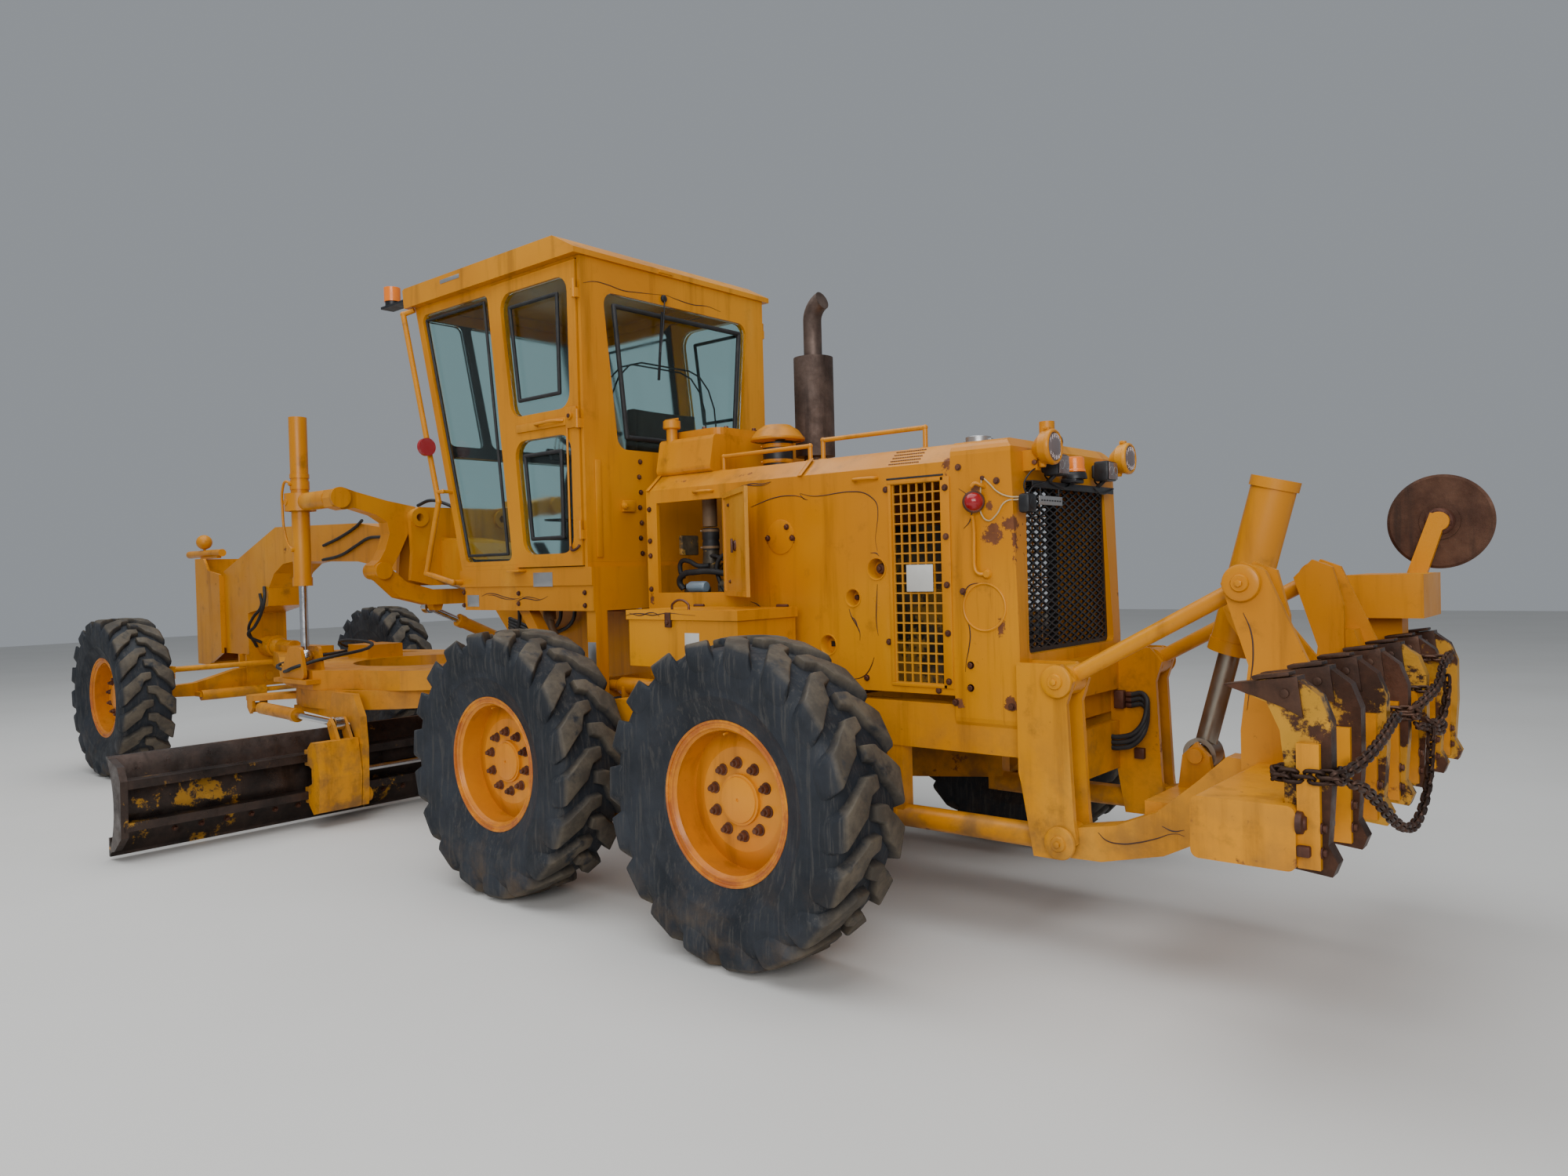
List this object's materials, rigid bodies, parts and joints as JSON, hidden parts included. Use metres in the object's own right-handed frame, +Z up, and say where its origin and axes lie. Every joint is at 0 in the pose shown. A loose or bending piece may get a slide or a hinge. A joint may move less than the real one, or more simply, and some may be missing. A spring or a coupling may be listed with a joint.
{
  "type": "motor grader",
  "caption": "Yellow articulated motor grader: arched frame, tilted cab, circle-mounted blade under the beam, tandem rear wheels, rear ripper with an edge cutter disc.",
  "frame": {"origin": "centre of the bounding box's footprint, on the ground under the tyres", "axes": "+X forward along the machine, +Y to its left, +Z up"},
  "size_m": [10.871, 4.27, 3.52],
  "materials": {
    "yellow_paint": "worn satin paint with rust at edges",
    "wheel_paint": "orange-yellow paint, rusty flange",
    "dark_paint": "satin black",
    "worn_steel": "rusty worn steel",
    "engine_metal": "greasy castings",
    "bright_rod": "polished",
    "tyre": "weathered rubber",
    "tinted_glass": "green-blue tint",
    "black_trim": "matte"
  },
  "bodies": {
    "rear_half": {"rear_frame": "yellow_paint", "tandem_drive": "yellow_paint", "engine_block": "engine_metal", "engine_hood": "yellow_paint", "side_screens": "yellow_paint", "radiator_shell": "yellow_paint", "radiator_grille": "dark_paint", "exhaust": "worn_steel", "hydraulic_tank": "yellow_paint", "battery_boxes": "yellow_paint", "ripper_bracket": "yellow_paint"},
    "front_half": {"main_frame": "yellow_paint", "front_post": "yellow_paint", "front_axle": "yellow_paint", "lift_arms": "yellow_paint", "cab_base": "yellow_paint", "cab_shell": "yellow_paint", "cab_roof": "yellow_paint", "cab_glass": "tinted_glass", "cab_interior": "black_trim", "cab_fittings": "yellow_paint"},
    "wheel_front_left": {"rim_front_left": "wheel_paint", "tyre_front_left": "tyre"},
    "wheel_front_right": {"rim_front_right": "wheel_paint", "tyre_front_right": "tyre"},
    "wheel_mid_left": {"rim_mid_left": "wheel_paint", "tyre_mid_left": "tyre"},
    "wheel_mid_right": {"rim_mid_right": "wheel_paint", "tyre_mid_right": "tyre"},
    "wheel_rear_left": {"rim_rear_left": "wheel_paint", "tyre_rear_left": "tyre"},
    "wheel_rear_right": {"rim_rear_right": "wheel_paint", "tyre_rear_right": "tyre"},
    "knuckle_left": {"knuckle_left": "yellow_paint"},
    "knuckle_right": {"knuckle_right": "yellow_paint"},
    "tie_rod": {"tie_rod": "yellow_paint"},
    "engine_door": {"engine_door": "yellow_paint"},
    "cab_door_left": {"cab_door_left": "yellow_paint"},
    "cab_door_right": {"cab_door_right": "yellow_paint"},
    "drawbar": {"drawbar": "yellow_paint"},
    "blade_circle": {"blade_circle": "yellow_paint"},
    "blade_carrier": {"blade_carrier": "yellow_paint", "shift_rod": "bright_rod"},
    "moldboard": {"moldboard": "worn_steel"},
    "tip_barrel": {"tip_barrel": "yellow_paint"},
    "tip_rod": {"tip_rod": "bright_rod"},
    "lift_barrel_left": {"lift_barrel_left": "yellow_paint"},
    "lift_barrel_right": {"lift_barrel_right": "yellow_paint"},
    "lift_rod_left": {"lift_rod_left": "bright_rod"},
    "lift_rod_right": {"lift_rod_right": "bright_rod"},
    "centre_barrel": {"centre_barrel": "yellow_paint"},
    "centre_rod": {"centre_rod": "bright_rod"},
    "ripper_arms": {"ripper_arms": "yellow_paint"},
    "ripper_links": {"ripper_links": "yellow_paint"},
    "ripper_carriage": {"ripper_carriage": "yellow_paint", "ripper_shanks": "worn_steel", "ripper_chain": "worn_steel"},
    "ripper_barrel": {"ripper_barrel": "yellow_paint"},
    "ripper_rod": {"ripper_rod": "bright_rod"},
    "edge_cutter": {"edge_cutter": "worn_steel"}
  },
  "joints": [
    {"name": "articulation", "type": "hinge", "parent": "rear_half", "child": "front_half", "pos_m": [-1.6795, -0.145, 1.115], "axis": [0, 0, 1], "range_deg": [-20, 20]},
    {"name": "roll_mid_left", "type": "hinge", "parent": "rear_half", "child": "wheel_mid_left", "pos_m": [-1.497, 1.055, 0.67], "axis": [0, 1, 0], "continuous": true},
    {"name": "roll_mid_right", "type": "hinge", "parent": "rear_half", "child": "wheel_mid_right", "pos_m": [-1.497, -1.345, 0.67], "axis": [0, 1, 0], "continuous": true},
    {"name": "roll_rear_left", "type": "hinge", "parent": "rear_half", "child": "wheel_rear_left", "pos_m": [-3.102, 1.055, 0.67], "axis": [0, 1, 0], "continuous": true},
    {"name": "roll_rear_right", "type": "hinge", "parent": "rear_half", "child": "wheel_rear_right", "pos_m": [-3.102, -1.345, 0.67], "axis": [0, 1, 0], "continuous": true},
    {"name": "steer_left", "type": "hinge", "parent": "front_half", "child": "knuckle_left", "pos_m": [4.1605, 0.755, 0.67], "axis": [0, 0, 1], "range_deg": [-50, 50]},
    {"name": "steer_right", "type": "hinge", "parent": "front_half", "child": "knuckle_right", "pos_m": [4.1605, -1.045, 0.67], "axis": [0, 0, 1], "range_deg": [-50, 50]},
    {"name": "steer_link", "type": "hinge", "parent": "knuckle_left", "child": "tie_rod", "pos_m": [3.9005, 0.755, 0.879], "axis": [0, 0, 1], "range_deg": [-50, 50]},
    {"name": "roll_front_left", "type": "hinge", "parent": "knuckle_left", "child": "wheel_front_left", "pos_m": [4.1605, 1.055, 0.67], "axis": [0, 1, 0], "continuous": true},
    {"name": "roll_front_right", "type": "hinge", "parent": "knuckle_right", "child": "wheel_front_right", "pos_m": [4.1605, -1.345, 0.67], "axis": [0, 1, 0], "continuous": true},
    {"name": "engine_door_swing", "type": "hinge", "parent": "rear_half", "child": "engine_door", "pos_m": [-2.3645, 0.378, 1.74], "axis": [0, 0, 1], "range_deg": [-145, 20]},
    {"name": "cab_door_left_swing", "type": "hinge", "parent": "front_half", "child": "cab_door_left", "pos_m": [-1.5225, 0.618, 2.48], "axis": [0, 0, 1], "range_deg": [0, 100]},
    {"name": "cab_door_right_swing", "type": "hinge", "parent": "front_half", "child": "cab_door_right", "pos_m": [-1.5225, -0.908, 2.48], "axis": [0, 0, 1], "range_deg": [-100, 0]},
    {"name": "blade_lift", "type": "hinge", "parent": "front_half", "child": "drawbar", "pos_m": [3.8505, -0.145, 1.02], "axis": [0, 1, 0], "range_deg": [0, 8]},
    {"name": "lift_swing_left", "type": "hinge", "parent": "front_half", "child": "lift_barrel_left", "pos_m": [1.4005, 0.76, 2.17], "axis": [0, -1, 0], "range_deg": [0, 3]},
    {"name": "lift_stroke_left", "type": "slide", "parent": "lift_barrel_left", "child": "lift_rod_left", "axis": [0, 0, 1], "range_m": [0, 0.345]},
    {"name": "lift_swing_right", "type": "hinge", "parent": "front_half", "child": "lift_barrel_right", "pos_m": [1.4005, -1.05, 2.17], "axis": [0, -1, 0], "range_deg": [0, 3]},
    {"name": "lift_stroke_right", "type": "slide", "parent": "lift_barrel_right", "child": "lift_rod_right", "axis": [0, 0, 1], "range_m": [0, 0.345]},
    {"name": "centre_swing", "type": "hinge", "parent": "drawbar", "child": "centre_barrel", "pos_m": [1.0305, -0.785, 1.045], "axis": [-1, 0, 0], "range_deg": [0, 28.5]},
    {"name": "centre_stroke", "type": "slide", "parent": "centre_barrel", "child": "centre_rod", "axis": [0, -0.9121, -0.4099], "range_m": [0, 0.092]},
    {"name": "circle_turn", "type": "hinge", "parent": "drawbar", "child": "blade_circle", "pos_m": [1.3405, -0.145, 0.785], "axis": [0, 0, -1], "continuous": true},
    {"name": "blade_tip", "type": "hinge", "parent": "blade_circle", "child": "blade_carrier", "pos_m": [0.7205, -0.145, 0.17], "axis": [0, 1, 0], "range_deg": [-5, 30]},
    {"name": "blade_shift", "type": "slide", "parent": "blade_carrier", "child": "moldboard", "axis": [0, 1, 0], "range_m": [-0.5, 0.6]},
    {"name": "tip_swing", "type": "hinge", "parent": "blade_circle", "child": "tip_barrel", "pos_m": [2.0305, 0.835, 0.688], "axis": [0, -1, 0], "range_deg": [-1.1, 6.1]},
    {"name": "tip_stroke", "type": "slide", "parent": "tip_barrel", "child": "tip_rod", "axis": [0.9996, 0, 0.027], "range_m": [-0.039, 0.2285]},
    {"name": "ripper_lower", "type": "hinge", "parent": "rear_half", "child": "ripper_arms", "pos_m": [-4.1695, -0.145, 0.499], "axis": [0, -1, 0], "range_deg": [0, 42]},
    {"name": "ripper_link_swing", "type": "hinge", "parent": "rear_half", "child": "ripper_links", "pos_m": [-4.1695, -0.145, 1.138], "axis": [0, -1, 0], "range_deg": [0, 42]},
    {"name": "ripper_tilt", "type": "hinge", "parent": "ripper_arms", "child": "ripper_carriage", "pos_m": [-4.8995, -0.145, 0.8], "axis": [0, 1, 0], "range_deg": [0, 37.5]},
    {"name": "ripper_cylinder_swing", "type": "hinge", "parent": "ripper_carriage", "child": "ripper_barrel", "pos_m": [-4.7095, -0.145, 1.42], "axis": [0, 1, 0], "range_deg": [0, 1.1]},
    {"name": "ripper_stroke", "type": "slide", "parent": "ripper_barrel", "child": "ripper_rod", "axis": [-0.263, 0, 0.9648], "range_m": [0, 0.23]},
    {"name": "cutter_roll", "type": "hinge", "parent": "ripper_carriage", "child": "edge_cutter", "pos_m": [-5.2255, -1.245, 1.746], "axis": [0, 1, 0], "continuous": true}
  ],
  "couplings": [
    {"joint": "steer_right", "follows": "steer_left", "ratio": 1},
    {"joint": "steer_link", "follows": "steer_left", "ratio": -1},
    {"joint": "centre_swing", "follows": "blade_lift", "ratio": 3.35},
    {"joint": "centre_stroke", "follows": "blade_lift", "m_per_rad": 0.6474},
    {"joint": "tip_swing", "follows": "blade_tip", "ratio": 0.195},
    {"joint": "tip_stroke", "follows": "blade_tip", "m_per_rad": 0.433},
    {"joint": "ripper_link_swing", "follows": "ripper_lower", "ratio": 0.9967},
    {"joint": "ripper_tilt", "follows": "ripper_lower", "ratio": 0.8855},
    {"joint": "ripper_cylinder_swing", "follows": "ripper_lower", "ratio": 0.025},
    {"joint": "ripper_stroke", "follows": "ripper_lower", "m_per_rad": 0.308},
    {"joint": "lift_swing_left", "follows": "blade_lift", "ratio": 0.2835},
    {"joint": "lift_stroke_left", "follows": "blade_lift", "m_per_rad": 2.429},
    {"joint": "lift_swing_right", "follows": "blade_lift", "ratio": 0.2835},
    {"joint": "lift_stroke_right", "follows": "blade_lift", "m_per_rad": 2.429}
  ]
}
